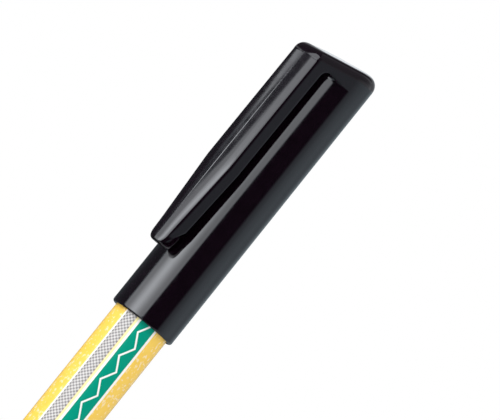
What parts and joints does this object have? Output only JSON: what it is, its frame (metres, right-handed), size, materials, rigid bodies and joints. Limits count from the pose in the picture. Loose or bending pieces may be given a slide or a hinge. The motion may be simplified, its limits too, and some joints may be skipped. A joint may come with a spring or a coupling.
{
  "type": "fabric marker",
  "caption": "Round fabric marker with a glossy black clip cap that pulls off, a printed film label on its barrel, a bullet fibre nib and an ink reservoir inside.",
  "frame": {"origin": "centre of the rear plug's flat end, where the marker stands", "axes": "+Z along the marker's axis towards the cap's top, -Y towards the pocket clip"},
  "size_m": [0.013, 0.0179, 0.1402],
  "materials": {
    "cap_plastic": "glossy moulded black",
    "liner_plastic": "natural milky",
    "barrel_plastic": "satin white",
    "label_film": "printed glossy film in green, yellow and white",
    "plug_plastic": "glossy moulded black",
    "front_plastic": "satin moulded black",
    "nib_fibre": "pressed fibre stained green",
    "reservoir_fibre": "fibre soaked with green ink",
    "sleeve_film": "thin clear film"
  },
  "bodies": {
    "marker_body": {"barrel": "barrel_plastic", "label": "label_film", "rear_plug": "plug_plastic", "front_section": "front_plastic", "nib": "nib_fibre", "ink_reservoir": "reservoir_fibre", "reservoir_sleeve": "sleeve_film"},
    "cap_body": {"cap": "cap_plastic", "cap_liner": "liner_plastic"}
  },
  "joints": [
    {"name": "cap_pull", "type": "slide", "parent": "marker_body", "child": "cap_body", "axis": [0, 0, 1], "range_m": [0, 0.045]}
  ]
}
